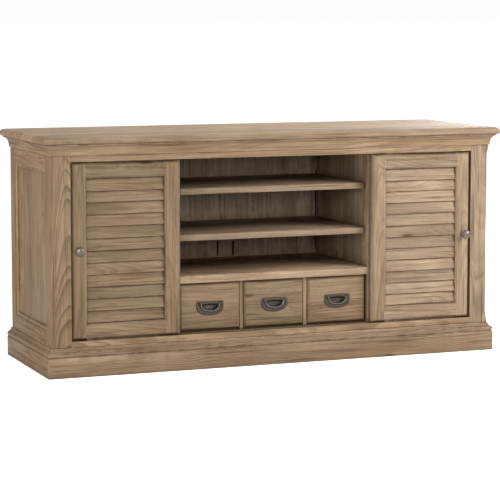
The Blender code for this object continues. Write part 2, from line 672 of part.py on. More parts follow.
# ------------------------------------------------------------------ sliding doors
def door_stile(x_outer, x_inner):
    """Bevelled round its outer edges and along its inner one, and rebated behind for the louvres."""
    out = -1 if x_outer < x_inner else 1
    x_rebate = x_inner + out * LOUVRE_REBATE
    x_bevel = x_inner + out * DOOR_STICKING
    outline = [
        (x_outer, DOOR_EDGE_CHAMFER), (x_outer + (-out) * DOOR_EDGE_CHAMFER, 0.0), (x_bevel, 0.0),
        (x_inner, DOOR_STICKING_DEPTH), (x_inner, DOOR_LIP_DEPTH), (x_rebate, DOOR_LIP_DEPTH),
        (x_rebate, DOOR_THICK), (x_outer, DOOR_THICK),
    ]
    stile = along_z(outline, 0.0, DOOR_HEIGHT)
    slice_off(stile, (0, DOOR_EDGE_CHAMFER, 0), (0, -1, -1))
    return slice_off(stile, (0, DOOR_EDGE_CHAMFER, DOOR_HEIGHT), (0, -1, 1))


def door_rail(half, z_outer, z_inner):
    """A rail coped over the stiles' inner bevels, with the tongue that runs in the track."""
    out = -1 if z_outer < z_inner else 1
    z_bevel = z_inner + out * DOOR_STICKING
    z_tongue = z_outer + out * (DOOR_END_GAP + TRACK_DEPTH - TRACK_WALL - 3 * GAP)
    y0 = TONGUE_Y - TONGUE_THICK / 2
    y1 = y0 + TONGUE_THICK
    outline = [
        (0.0, z_bevel), (DOOR_STICKING_DEPTH, z_inner), (DOOR_THICK, z_inner), (DOOR_THICK, z_outer),
        (y1, z_outer), (y1, z_tongue), (y0, z_tongue), (y0, z_outer), (DOOR_EDGE_CHAMFER, z_outer),
        (DOOR_STICKING_DEPTH, z_outer - out * (DOOR_EDGE_CHAMFER - DOOR_STICKING_DEPTH)),
        (0.0, z_outer - out * DOOR_EDGE_CHAMFER),
    ]
    wide = half + DOOR_STICKING - GAP
    narrow = half - GAP
    bm = bmesh.new()
    loops = []
    for end in (-1, 1):
        loop = []
        for y, z in outline:
            cope = max(0.0, 1.0 - y / DOOR_STICKING_DEPTH)
            loop.append(bm.verts.new((end * (narrow + (wide - narrow) * cope), y, z)))
        loops.append(loop)
    for i in range(len(outline)):
        j = (i + 1) % len(outline)
        bm.faces.new((loops[0][i], loops[0][j], loops[1][j], loops[1][i]))
    for loop in loops:
        bm.faces.new([loop[0], loop[1], loop[-2], loop[-1]])
        bm.faces.new(loop[1:-1])
    bmesh.ops.recalc_face_normals(bm, faces=bm.faces)
    return bm


def slat_profile(rise):
    """(y, z) of one slat: a leaning board with a rounded lower lip and upper edge."""
    r = SLAT_THICK / 2
    lip = arc((SLAT_LIP_DEPTH + r, r), (r, r), 180, 360, 4)
    edge = arc((SLAT_TOP_DEPTH - r, rise - r), (r, r), 0, 180, 4)
    return lip + edge


def louvre_pack(half, place):
    """Leaning slats let into two end strips, which sit in the stiles' rebates."""
    low = DOOR_FRAME_WIDTH + GAP
    high = DOOR_HEIGHT - DOOR_FRAME_WIDTH - GAP
    count = max(1, round((high - low) / SLAT_PITCH))
    pitch = (high - low) / count
    slats = []
    for i in range(count):
        rise = pitch + SLAT_OVERLAP if i < count - 1 else pitch
        profile = [(y, low + i * pitch + dz) for y, dz in slat_profile(rise)]
        slats.append(along_x(profile, -half - SLAT_IN, half + SLAT_IN))
    pack = add(place + "_door_louvres", join(slats), OAK, smooth=True)
    strips = []
    y0 = DOOR_LIP_DEPTH + GAP
    for side in (-1, 1):
        x0, x1 = sorted((side * half, side * (half + LOUVRE_REBATE - GAP)))
        strips.append(block((x0, y0, low), (x1, DOOR_THICK, high)))
    boolean(pack, helper(place + "_louvre_strips", join(strips)), "UNION")
    return pack


def knob():
    """A turned mushroom knob; (radius, distance from the door) down its outline."""
    outline = [(KNOB_FOOT, GAP), (KNOB_FOOT, KNOB_FOOT_THICK), (KNOB_SHOULDER, KNOB_SHOULDER_OUT)]
    outline.append((KNOB_NECK, KNOB_NECK_OUT))
    outline += [(share * KNOB_RADIUS, KNOB_PROJECTION - behind) for share, behind in KNOB_CAP]
    sides = 24
    rings = []
    for radius, away in outline:
        ring = arc((0, 0), (radius, radius), 0, 360 - 360 / sides, sides - 1)
        rings.append([(x, -away, z) for x, z in ring])
    return loft(rings)


def door(side, word):
    base = add_empty(word + "_door_place", (side * DOOR_CENTRE, DOOR_Y, DOOR_LOW))
    edge = side * DOOR_WIDTH / 2
    inner = side * (DOOR_WIDTH / 2 - DOOR_FRAME_WIDTH)
    half = abs(inner)
    add(word + "_door_outer_stile", door_stile(edge, inner), OAK, parent=base)
    add(word + "_door_inner_stile", door_stile(-edge, -inner), OAK, parent=base)
    top = DOOR_HEIGHT
    add(word + "_door_bottom_rail", door_rail(half, 0.0, DOOR_FRAME_WIDTH), OAK, parent=base)
    add(word + "_door_top_rail", door_rail(half, top, top - DOOR_FRAME_WIDTH), OAK, parent=base)
    louvre_pack(half, word).parent = base
    bpy.data.objects[word + "_louvre_strips"].parent = base
    place = (edge - side * (DOOR_FRAME_WIDTH - DOOR_STICKING) / 2, 0.0, KNOB_SHARE * DOOR_HEIGHT)
    add(word + "_door_knob", knob(), PEWTER, place, base, 0.35, 1.0, True)


# ------------------------------------------------------------------ drawers and their pulls
def drawer_front():
    rings = []
    for inset, y in ((DRAWER_CHAMFER, 0.0), (0.0, DRAWER_CHAMFER), (0.0, DRAWER_FRONT_THICK)):
        x = DRAWER_FRONT_WIDTH / 2 - inset
        z0 = inset
        z1 = DRAWER_HEIGHT - inset
        rings.append([(-x, y, z0), (x, y, z0), (x, y, z1), (-x, y, z1)])
    return loft(rings)


def drawer_box():
    """A tray: sides, back, the board behind the front, and a bottom raised off the sides' lower edges."""
    y0 = DRAWER_FRONT_THICK + GAP
    y1 = y0 + BOX_LENGTH
    x = BOX_SIDE
    z0 = BOX_LOW
    z1 = BOX_LOW + BOX_HEIGHT
    inner = x - BOX_WALL
    outside = [(-x, y0), (x, y0), (x, y1), (-x, y1)]
    inside = [(-inner, y0 + BOX_WALL), (inner, y0 + BOX_WALL), (inner, y1 - BOX_WALL), (-inner, y1 - BOX_WALL)]
    floor_low = z0 + BOX_BOTTOM_RAISE
    rings = [
        [(px, py, floor_low + BOX_BOTTOM) for px, py in inside],
        [(px, py, z1) for px, py in inside],
        [(px, py, z1) for px, py in outside],
        [(px, py, z0) for px, py in outside],
        [(px, py, z0) for px, py in inside],
        [(px, py, floor_low) for px, py in inside],
    ]
    return loft(rings)


def half_oval(width, top, shoulder, bottom, arch=0.0):
    """(x, z) of a D lying on its back: arched top edge, straight sides, rounded below."""
    points = []
    top_steps = 6
    for i in range(top_steps):
        t = i / top_steps
        points.append((width * (t - 0.5), top + arch * math.sin(math.pi * t)))
    points.append((width / 2, top))
    curve_steps = 16
    for i in range(curve_steps + 1):
        a = math.pi * i / curve_steps
        x = width / 2 * math.copysign(abs(math.cos(a)) ** OVAL_FULLNESS, math.cos(a))
        z = shoulder - (shoulder - bottom) * math.sin(a) ** OVAL_FULLNESS
        points.append((x, z))
    return points


def plate_outline(inset):
    return half_oval(PULL_WIDTH - 2 * inset, PULL_TOP - inset, PULL_TOP - PULL_SHOULDER, -PULL_TOP + inset)


def cup_outline(inset):
    top = PULL_TOP - CUP_FROM_TOP - inset
    bottom = PULL_TOP - CUP_FROM_TOP - CUP_HEIGHT + inset
    return half_oval(CUP_WIDTH - 2 * inset, top, top - CUP_HEIGHT / 3, bottom, arch=CUP_ARCH)


def at_depth(outline, y):
    return [(x, y, z) for x, z in outline]


def pull_plate():
    """The D plate with its sunk cup, from the inside of the cup round to the back of the cup."""
    rings = [
        at_depth(cup_outline(CUP_TAPER), CUP_DEPTH - CUP_WALL),
        at_depth(cup_outline(CUP_WALL_TAPER), CUP_DEPTH - CUP_WALL - CUP_BOTTOM_CURVE),
        at_depth(cup_outline(0.0), -PULL_THICK + CUP_LIP),
        at_depth(cup_outline(-CUP_LIP), -PULL_THICK),
        at_depth(plate_outline(PULL_BEVEL), -PULL_THICK),
        at_depth(plate_outline(0.0), -PULL_THICK + PULL_BEVEL),
        at_depth(plate_outline(0.0), -GAP),
        at_depth(cup_outline(-CUP_WALL), -GAP),
        at_depth(cup_outline(CUP_WALL_TAPER - CUP_WALL), CUP_DEPTH - CUP_BOTTOM_CURVE),
        at_depth(cup_outline(CUP_TAPER - CUP_WALL), CUP_DEPTH),
    ]
    return loft(rings)


def pull_pocket():
    """The space cut in the drawer front for the cup."""
    outline = cup_outline(-CUP_WALL - CUP_CLEAR)
    return loft([at_depth(outline, -DRAWER_CHAMFER), at_depth(outline, CUP_DEPTH + CUP_CLEAR)])


def lugs():
    """Two staples over the bail's pins, open towards the plate."""
    reach = BAIL_RADIUS + LUG_CLEAR
    outer = reach + LUG_WALL
    front = BAIL_PIVOT_Y - outer
    inner_front = BAIL_PIVOT_Y - reach
    back = -PULL_THICK + LUG_IN
    profile = [
        (back, -outer), (back, -reach), (inner_front, -reach), (inner_front, reach),
        (back, reach), (back, outer), (front, outer), (front, -outer),
    ]
    profile = [(y, z + BAIL_PIVOT_Z) for y, z in profile]
    start = BAIL_WIDTH / 2 + BAIL_RADIUS + LUG_CLEAR
    pieces = []
    for side in (-1, 1):
        x0, x1 = sorted((side * start, side * (start + LUG_WIDTH)))
        pieces.append(along_x(profile, x0, x1))
    return join(pieces)


def bail():
    """A round bar bent to a half oval, its ends turned out as hinge pins; origin on the hinge axis."""
    half = BAIL_WIDTH / 2
    path = [(half + BAIL_PIN_LENGTH, 0.0), (half + BAIL_RADIUS / 2, 0.0), (half, -BAIL_BEND)]
    curve_top = -2 * BAIL_BEND
    steps = 12
    curve = []
    for i in range(steps + 1):
        a = math.pi * i / steps
        x = half * math.copysign(abs(math.cos(a)) ** OVAL_FULLNESS, math.cos(a))
        curve.append((x, curve_top - (BAIL_DROP + curve_top) * math.sin(a) ** OVAL_FULLNESS))
    left = [(-x, z) for x, z in reversed(path)]
    points = path + curve + left
    rings = []
    for i, (x, z) in enumerate(points):
        before = Vector(points[max(i - 1, 0)])
        after = Vector(points[min(i + 1, len(points) - 1)])
        along = (after - before).normalized()
        across = Vector((-along[1], along[0]))
        ring = []
        for k in range(BAIL_SIDES):
            a = 2 * math.pi * k / BAIL_SIDES
            out = BAIL_RADIUS * math.cos(a)
            ring.append((x + across[0] * out, BAIL_RADIUS * math.sin(a), z + across[1] * out))
        rings.append(ring)
    return loft(rings)


def drawer(i, word):
    base = add_empty(word + "_drawer_place", (i * DRAWER_PITCH, DRAWER_Y, DRAWER_LOW))
    front = add(word + "_drawer_front", drawer_front(), OAK, parent=base)
    add(word + "_drawer_box", drawer_box(), OAK_INSIDE, parent=base)
    pull = add_empty(word + "_pull_place", (0.0, 0.0, PULL_MIDDLE), base)
    boolean(front, helper(word + "_pull_pocket", pull_pocket(), parent=pull), "DIFFERENCE")
    plate = add(word + "_pull_plate", pull_plate(), PEWTER, (0, 0, 0), pull, 0.45, 1.0, True)
    boolean(plate, helper(word + "_pull_lugs", lugs(), parent=pull), "UNION")
    place = (0.0, BAIL_PIVOT_Y, BAIL_PIVOT_Z)
    add(word + "_pull_bail", bail(), PEWTER, place, pull, 0.35, 1.0, True)


# ------------------------------------------------------------------ the whole console
def build():
    clear_scene()
    top_board()
    crown_and_base()
    for side, word in SIDES:
        side_frame(side, word)
        door(side, word)
    face_frame()
    door_tracks()
    cabinet_floor()
    partitions()
    back_of_case()
    shelves()
    drawer_dividers()
    for i, word in DRAWERS:
        drawer(i, word)


build()
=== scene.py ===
# %% [markdown]
# # A weathered media console, from imported model to finished picture
# The imported model gives every board and fitting at its true size and place.  Here each one gets the
# look of old oak or dark pewter, and the pieces that need a finer shape are modelled again.

import math

import bmesh
import bpy
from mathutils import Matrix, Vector


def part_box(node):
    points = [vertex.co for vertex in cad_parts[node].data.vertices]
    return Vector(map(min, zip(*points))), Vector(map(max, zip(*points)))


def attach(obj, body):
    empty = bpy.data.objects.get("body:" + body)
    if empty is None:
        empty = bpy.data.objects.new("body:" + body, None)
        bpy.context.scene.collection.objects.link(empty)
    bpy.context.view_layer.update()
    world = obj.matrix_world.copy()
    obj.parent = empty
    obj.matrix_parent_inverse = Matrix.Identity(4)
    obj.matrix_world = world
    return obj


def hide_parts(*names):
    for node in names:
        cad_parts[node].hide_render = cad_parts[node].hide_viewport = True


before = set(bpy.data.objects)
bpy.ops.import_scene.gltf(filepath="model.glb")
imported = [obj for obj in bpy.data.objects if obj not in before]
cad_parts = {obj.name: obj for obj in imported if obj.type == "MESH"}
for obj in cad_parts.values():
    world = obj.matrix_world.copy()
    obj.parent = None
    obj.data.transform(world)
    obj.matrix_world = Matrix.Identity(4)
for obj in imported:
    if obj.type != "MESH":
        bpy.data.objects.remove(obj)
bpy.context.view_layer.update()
scene = bpy.context.scene

# %% [markdown]
# ## Camera
# The console is seen from a long way off, a little above its top and well to the left of its middle,
# so its left side and the tops of its shelves show.  A wide lens close by would make the near end
# look swollen.  A long lens keeps the ends alike and the upright lines upright, so it is used here.

# %% Camera
LEVEL = math.pi / 2                       # a camera turned up by this looks at the horizon
camera = bpy.data.objects.new("camera", bpy.data.cameras.new("camera"))
scene.collection.objects.link(camera)
camera.location = (-2.6516, -6.7272, 1.2321)
camera.rotation_euler = (LEVEL - 0.09385, 0.0, -0.37485)
camera.data.sensor_width = 36.0
camera.data.lens = 145.32
camera.data.shift_y = -0.1
scene.camera = camera
print("lens:", round(camera.data.lens, 1), "mm")

# %% [markdown]
# ## Floor
# A furniture maker shows a piece on plain paper that runs out of sight.  A floor with a visible edge
# would draw a line behind the plinth, so this one is far larger than the view.  It glows a little, but
# only where the camera sees it directly, so the floor is white and throws no extra light on the wood.

# %% Studio floor
FLOOR_SIZE = 400.0
FLOOR_GLOW = 0.8
bpy.ops.mesh.primitive_plane_add(size=FLOOR_SIZE)
floor = bpy.context.object
floor.name = "studio_floor"
floor_paint = bpy.data.materials.new("studio_floor")
floor_paint.use_nodes = True
floor_shader = floor_paint.node_tree.nodes["Principled BSDF"]
floor_shader.inputs["Base Color"].default_value = (0.93, 0.93, 0.93, 1)
floor_shader.inputs["Roughness"].default_value = 0.9
floor_shader.inputs["Specular IOR Level"].default_value = 0.0
floor_shader.inputs["Emission Color"].default_value = (1, 1, 1, 1)
seen = floor_paint.node_tree.nodes.new("ShaderNodeLightPath").outputs["Is Camera Ray"]
glow = floor_paint.node_tree.nodes.new("ShaderNodeMath")
glow.operation = "MULTIPLY"
glow.inputs[1].default_value = FLOOR_GLOW
floor_paint.node_tree.links.new(seen, glow.inputs[0])
floor_paint.node_tree.links.new(glow.outputs[0], floor_shader.inputs["Emission Strength"])
floor.data.materials.append(floor_paint)
print("floor:", FLOOR_SIZE, "m")

# %% [markdown]
# ## Daylight
# Light from all round fills the shadows.  At full strength it would flatten the mouldings, so it
# lights the wood at about a third, and stays plain white where the camera looks straight at it.

# %% Daylight all round
FILL = 0.36
world = bpy.data.worlds.new("daylight")
world.use_nodes = True
sky = world.node_tree.nodes["Background"]
sky.inputs["Color"].default_value = (1.0, 0.99, 0.98, 1)
seen = world.node_tree.nodes.new("ShaderNodeLightPath").outputs["Is Camera Ray"]
strength = world.node_tree.nodes.new("ShaderNodeMapRange")
strength.inputs["To Min"].default_value = FILL
world.node_tree.links.new(seen, strength.inputs["Value"])
world.node_tree.links.new(strength.outputs["Result"], sky.inputs["Strength"])
scene.world = world
scene.view_settings.view_transform = "Standard"
print("fill light:", FILL)

# %% [markdown]
# ## Lamps
# One strong lamp would leave the open bay black.  Five soft ones share the work: a key at the front
# right for the mouldings, one low in front for the bay, a warm one for the left side, one above for
# the top, and one far behind whose reflection makes the pale sheen on the right of the top.

# %% Soft lamps
def lamp(name, place, aim, size, power, colour=(1, 1, 1)):
    """A square soft lamp that faces the point aim."""
    light = bpy.data.objects.new(name, bpy.data.lights.new(name, "AREA"))
    light.data.size = size
    light.data.energy = power
    light.data.color = colour
    light.location = place
    light.rotation_euler = (Vector(aim) - Vector(place)).to_track_quat("-Z", "Y").to_euler()
    scene.collection.objects.link(light)


lamp("key_lamp", (1.9, -1.9, 1.6), (0.5, -0.2, 0.4), 1.2, 42, (1.0, 0.985, 0.96))
lamp("bay_lamp", (-1.6, -4.2, 1.32), (0.0, 0, 0.45), 0.7, 48, (1.0, 0.98, 0.95))
lamp("left_lamp", (-3.6, -0.7, 1.3), (-0.8, 0, 0.4), 1.2, 36, (1.0, 0.87, 0.80))
lamp("top_lamp", (0.6, 0.7, 3.2), (0.3, 0, 0.8), 1.6, 45)
lamp("sheen_lamp", (3.4, 3.4, 1.5), (0.6, 0, 0.8), 1.8, 90)

# %% [markdown]
# ## Selecting
# Operators act on whatever is selected, so every step starts by selecting one piece and nothing else.
# Faces and edges could be picked by number, but numbers change with every edit.  `choose` picks them
# by a test on their place or direction instead, as a person would by eye.

# %% Selecting and editing
def pick(piece):
    if bpy.context.object and bpy.context.object.mode != "OBJECT":
        bpy.ops.object.mode_set(mode="OBJECT")
    bpy.ops.object.select_all(action="DESELECT")
    piece.select_set(True)
    bpy.context.view_layer.objects.active = piece


def start_edit(piece, what="FACE", select="DESELECT"):
    """Edit mode on one piece, with nothing selected or, with select="SELECT", all of it."""
    pick(piece)
    bpy.ops.object.mode_set(mode="EDIT")
    bpy.ops.mesh.select_mode(type=what)
    bpy.ops.mesh.select_all(action=select)


def end_edit():
    bpy.ops.object.mode_set(mode="OBJECT")


def choose(piece, what, test):
    """Selects the verts, edges or faces of the piece in edit mode that pass the test."""
    bm = bmesh.from_edit_mesh(piece.data)
    for kind in (bm.verts, bm.edges, bm.faces):
        for item in kind:
            item.select_set(False)
    for item in {"VERT": bm.verts, "EDGE": bm.edges, "FACE": bm.faces}[what]:
        if test(item):
            item.select_set(True)
    bmesh.update_edit_mesh(piece.data)


print("pieces to dress or replace:", len(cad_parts))

# %% [markdown]
# ## Bench tools
# Four jobs come back for many pieces: cutting a block to size, easing its edges, joining finished
# pieces and copying one.  A finished piece has its place in its mesh, so `settle` ends each block.

# %% Blocks, edges, joining and copying
SMOOTHER = 12                             # degrees past the bevel's limit that still shade smooth


def settle(piece):
    """Puts a finished piece's place, turn and size into its mesh."""
    pick(piece)
    bpy.ops.object.transform_apply(location=True, rotation=True, scale=True)


def block(name, low, high):
    """A cube primitive at its size and place: the start of most boards."""
    low, high = Vector(low), Vector(high)
    bpy.ops.mesh.primitive_cube_add(size=1, location=(low + high) / 2, scale=high - low)
    piece = bpy.context.object
    piece.name = name
    settle(piece)
    return piece


def round_edges(piece, width, segments=2, angle=20):
    """A bevel modifier on the sharp edges, applied, and smooth shading that keeps flats flat."""
    pick(piece)
    bevel = piece.modifiers.new("eased", "BEVEL")
    bevel.width = width
    bevel.segments = segments
    bevel.limit_method = "ANGLE"
    bevel.angle_limit = math.radians(angle)
    bevel.use_clamp_overlap = width > 0.001
    bevel.harden_normals = True
    bpy.ops.object.modifier_apply(modifier=bevel.name)
    bpy.ops.object.shade_smooth_by_angle(angle=math.radians(angle + SMOOTHER))


def join(name, pieces):
    """Several finished pieces as one object."""
    pick(pieces[0])
    for piece in pieces[1:]:
        piece.select_set(True)
    bpy.ops.object.join()
    pieces[0].name = name
    return pieces[0]


def copy_of(piece, name):
    """A copy with a mesh of its own."""
    twin = bpy.data.objects.new(name, piece.data.copy())
    scene.collection.objects.link(twin)
    return twin


print("smooth shading up to", 20 + SMOOTHER, "degrees on most boards")

# %% [markdown]
# ## Building shader graphs
# A material is a graph of nodes.  `node` adds one and fills its sockets, either with a value or with
# a wire from another node.  An effect that several materials share goes in a group, which is built
# once and then placed in each of them with its own values.

# %% Nodes and groups
def fill(tree, sockets, values):
    """Puts a value in each socket, or a wire where the value is another node's output."""
    for key, value in values.items():
        if isinstance(value, bpy.types.NodeSocket):
            tree.links.new(value, sockets[key])
        else:
            sockets[key].default_value = value


def node(tree, kind, sockets=None, **settings):
    made = tree.nodes.new("ShaderNode" + kind)
    for key, value in settings.items():
        setattr(made, key, value)
    fill(tree, made.inputs, sockets or {})
    return made


def new_group(name, inputs, outputs):
    """A shader group with named sockets; gives back its tree, its inputs and its output node."""
    tree = bpy.data.node_groups.new(name, "ShaderNodeTree")
    for label, kind, value in inputs:
        socket = tree.interface.new_socket(name=label, in_out="INPUT", socket_type="NodeSocket" + kind)
        if value is not None:
            socket.default_value = value
    for label, kind in outputs:
        tree.interface.new_socket(name=label, in_out="OUTPUT", socket_type="NodeSocket" + kind)
    come_in = tree.nodes.new("NodeGroupInput").outputs
    go_out = tree.nodes.new("NodeGroupOutput").inputs
    return tree, come_in, go_out


def use_group(tree, group, sockets):
    made = tree.nodes.new("ShaderNodeGroup")
    made.node_tree = group
    fill(tree, made.inputs, sockets)
    return made.outputs


print("groups so far:", len(bpy.data.node_groups))

# %% [markdown]
# ## Sums, ramps and noise
# Patterns are arithmetic on places, so each common step gets a short name.  Grain is noise pulled
# out along the board: `stretched` scales the place differently along each axis before the noise.

# %% Sums, ramps and noise
def calc(tree, operation, *values):
    return node(tree, "Math", dict(enumerate(values)), operation=operation).outputs[0]


def times(tree, first, second):
    return calc(tree, "MULTIPLY", first, second)


def plus(tree, first, second):
    return calc(tree, "ADD", first, second)


def minus(tree, first, second):
    return calc(tree, "SUBTRACT", first, second)


def vector(tree, operation, first, second):
    return node(tree, "VectorMath", {0: first, 1: second}, operation=operation).outputs[0]


def ramp(tree, value, low, high, to_low=0.0, to_high=1.0):
    """Maps low..high to to_low..to_high, eased at both ends."""
    sockets = {"Value": value, "From Min": low, "From Max": high, "To Min": to_low, "To Max": to_high}
    return node(tree, "MapRange", sockets, interpolation_type="SMOOTHSTEP").outputs["Result"]


def mix(tree, how, share, first, second):
    """Two colours mixed: 6 and 7 are the colour inputs of a Mix node, and 2 its colour output."""
    sockets = {0: share, 6: first, 7: second}
    return node(tree, "Mix", sockets, data_type="RGBA", blend_type=how).outputs[2]


def stretched(tree, place, scale, detail, roughness=0.55):
    """Noise on stretched coordinates, from about 0.25 to 0.75."""
    point = vector(tree, "MULTIPLY", place, scale)
    sockets = {"Vector": point, "Scale": 1.0, "Detail": detail, "Roughness": roughness}
    return node(tree, "TexNoise", sockets).outputs["Fac"]


print("a ramp eases from 0 to 1; noise stays near 0.25 to 0.75")

# %% [markdown]
# ## Boards
# A panel glued from boards changes its figure at every joint.  Each board could have a material of
# its own, but one group does for all: it takes the place on the surface, finds which board it falls
# on, and moves the pattern by a random amount for each board.

# %% Shader group: separate boards
BOARD_SHIFT = (14.0, 0.05, 0.03)          # along, across and into the board, metres
HALF = (0.5, 0.5, 0.5)
boards, come_in, go_out = new_group(
    "separate_boards",
    [
        ("Vector", "Vector", None),
        ("Board Width", "Float", 0.1),
        ("Board Start", "Float", 0.0),
        ("Seed", "Float", 0.0),
    ],
    [("Vector", "Vector"), ("Tone", "Float")],
)
place = node(boards, "SeparateXYZ", {0: come_in["Vector"]}).outputs
steps = calc(boards, "DIVIDE", minus(boards, place[1], come_in["Board Start"]), come_in["Board Width"])
index = calc(boards, "FLOOR", steps)
off_middle = minus(boards, calc(boards, "FRACT", steps), 0.5)
across = times(boards, off_middle, come_in["Board Width"])
key = node(boards, "CombineXYZ", {0: index, 1: come_in["Seed"], 2: 0.37}).outputs[0]
chance = node(boards, "TexWhiteNoise", {"Vector": key}, noise_dimensions="3D").outputs
shift = vector(boards, "MULTIPLY", vector(boards, "SUBTRACT", chance["Color"], HALF), BOARD_SHIFT)
local = node(boards, "CombineXYZ", {0: place[0], 1: across, 2: place[2]}).outputs[0]
boards.links.new(vector(boards, "ADD", local, shift), go_out["Vector"])
boards.links.new(chance["Value"], go_out["Tone"])
print("group:", boards.name)

# %% [markdown]
# ## Oak rings
# A log is a stack of cones.  A board cut from it shows the rings as arches along its middle and as
# lines near its edges.  Drawing arches one by one would look drawn, so the pattern is the distance
# from a wavering pith below the surface.  Counted in rings, that distance gives arches by itself.
# A few knots push the rings aside, and each year's ring is a little wider or narrower than the last.

# %% Shader group: oak figure, its rings
WAVER = ((2.2, 9.0, 9.0), 0.05)           # how often and how far the pith strays sideways
WAVER_DEEP = ((1.3, 5.0, 7.0), 0.04)      # the same for its depth
KNOT_CELLS = (2.6, 9.0, 9.0)
KNOT_PUSH = 0.010
oak, come_in, go_out = new_group(
    "oak_figure",
    [
        ("Vector", "Vector", None),
        ("Ring Spacing", "Float", 0.006),
        ("Pith Depth", "Float", 0.05),
        ("Tilt", "Float", 0.05),
    ],
    [(mask, "Float") for mask in ("Rings", "Streaks", "Lines", "Pores", "Cloud", "Blush", "Knots")],
)
grain_place = come_in["Vector"]
spot = node(oak, "SeparateXYZ", {0: grain_place}).outputs
waver = minus(oak, stretched(oak, grain_place, WAVER[0], 2.0), 0.5)
waver_deep = minus(oak, stretched(oak, grain_place, WAVER_DEEP[0], 1.0), 0.5)
sideways = plus(oak, spot[1], times(oak, waver, WAVER[1]))
depth = plus(oak, plus(oak, spot[2], come_in["Pith Depth"]), times(oak, spot[0], come_in["Tilt"]))
depth = plus(oak, depth, times(oak, waver_deep, WAVER_DEEP[1]))
radius = calc(oak, "SQRT", plus(oak, times(oak, sideways, sideways), times(oak, depth, depth)))

cells = vector(oak, "MULTIPLY", grain_place, KNOT_CELLS)
knot = node(oak, "TexVoronoi", {"Vector": cells, "Scale": 1.0}, feature="F1").outputs["Distance"]
push = ramp(oak, knot, 0.0, 0.34, KNOT_PUSH, 0.0)
years = calc(oak, "DIVIDE", plus(oak, radius, push), come_in["Ring Spacing"])
weather = {"W": times(oak, years, 0.45), "Scale": 1.0, "Detail": 1.0}
luck = node(oak, "TexNoise", weather, noise_dimensions="1D").outputs["Fac"]
season = calc(oak, "FRACT", plus(oak, years, times(oak, luck, 2.2)))
late_wood = times(oak, ramp(oak, season, 0.30, 0.88), ramp(oak, season, 0.90, 1.0, 1.0, 0.0))
fading = ramp(oak, stretched(oak, grain_place, (3.0, 14.0, 14.0), 1.0), 0.35, 0.62, 0.35, 1.0)
oak.links.new(times(oak, late_wood, fading), go_out["Rings"])
oak.links.new(ramp(oak, knot, 0.035, 0.10, 1.0, 0.0), go_out["Knots"])
print("group:", oak.name)

# %% [markdown]
# ## Oak grain
# Over the rings lie streaks, dark lines and short pores, all running with the grain, and a slow
# cloudiness and a reddish blush where the stain took unevenly.  They differ only in how far the noise
# is pulled out and where it is cut off, so a table of those numbers makes them all.

# %% Shader group: oak figure, its grain
MASKS = {
    # mask: (stretch along and across, detail, roughness, from, to)
    "fine": ((7.0, 240.0, 240.0), 3.0, 0.70, 0.36, 0.66),
    "broad": ((3.5, 75.0, 75.0), 3.0, 0.65, 0.42, 0.68),
    "Lines": ((3.0, 170.0, 170.0), 2.0, 0.55, 0.58, 0.70),
    "Pores": ((45.0, 1100.0, 1100.0), 2.0, 0.55, 0.60, 0.70),
    "Blush": ((5.0, 9.0, 19.0), 2.0, 0.55, 0.40, 0.62),
}
grain_mask = {}
for mask, (pull, detail, roughness, low, high) in MASKS.items():
    grain_mask[mask] = ramp(oak, stretched(oak, grain_place, pull, detail, roughness), low, high)
streaks = plus(oak, times(oak, grain_mask["fine"], 0.4), times(oak, grain_mask["broad"], 0.6))
oak.links.new(streaks, go_out["Streaks"])
for mask in ("Lines", "Pores", "Blush"):
    oak.links.new(grain_mask[mask], go_out[mask])
oak.links.new(stretched(oak, grain_place, (3.5, 16.0, 16.0), 3.0, 0.6), go_out["Cloud"])
print("grain masks:", ", ".join(grain_mask))

# %% [markdown]
# ## Painted shade, wax and wear
# Dark wax stays in the corners and wears off the edges, and the same masks also paint shade into the
# corners.  They could be painted by hand on every board.  Instead the material looks a short way round
# each point, which tells how closed in it is and how much painted shade it gets, and compares the true
# surface with one whose edges are rounded, which tells where an edge is.

# %% Shader group: painted shade in corners and creases, and edges
# the reach of the painted shade in the thin crease where two boards meet
JOINT_REACH = 0.003                       # the thin dark line where two boards meet
shade_and_age, come_in, go_out = new_group(
    "corner_shade_and_edges",
    [("Corner Reach", "Float", 0.02), ("Edge Width", "Float", 0.003), ("Vector", "Vector", None)],
    [("Corner Shade And Patina", "Float"), ("Joint Shade", "Float"), ("Edges", "Float")],
)
patchy = stretched(shade_and_age, come_in["Vector"], (30.0, 30.0, 30.0), 3.0)
# corner mask: painted shade where a point is closed in; on wood it also stands for dark wax, on pewter
# it is the patina in the hollows
open_sky = node(shade_and_age, "AmbientOcclusion", {"Distance": come_in["Corner Reach"]}, samples=6).outputs["AO"]
uneven = plus(shade_and_age, open_sky, times(shade_and_age, minus(shade_and_age, patchy, 0.5), 0.5))
shade_and_age.links.new(ramp(shade_and_age, uneven, 0.35, 0.95, 1.0, 0.0), go_out["Corner Shade And Patina"])
# joint mask: painted shade in the thin creases and gaps between parts
close_by = node(shade_and_age, "AmbientOcclusion", {"Distance": JOINT_REACH}, samples=8).outputs["AO"]
shade_and_age.links.new(ramp(shade_and_age, close_by, 0.52, 0.92, 1.0, 0.0), go_out["Joint Shade"])
rounded = node(shade_and_age, "Bevel", {"Radius": come_in["Edge Width"]}, samples=4).outputs["Normal"]
true_normal = node(shade_and_age, "NewGeometry").outputs["True Normal"]
sockets = {0: rounded, 1: true_normal}
agree = node(shade_and_age, "VectorMath", sockets, operation="DOT_PRODUCT").outputs["Value"]
edge = ramp(shade_and_age, agree, 0.80, 0.99, 1.0, 0.0)
shade_and_age.links.new(times(shade_and_age, edge, ramp(shade_and_age, patchy, 0.38, 0.58)), go_out["Edges"])
print("group:", shade_and_age.name)
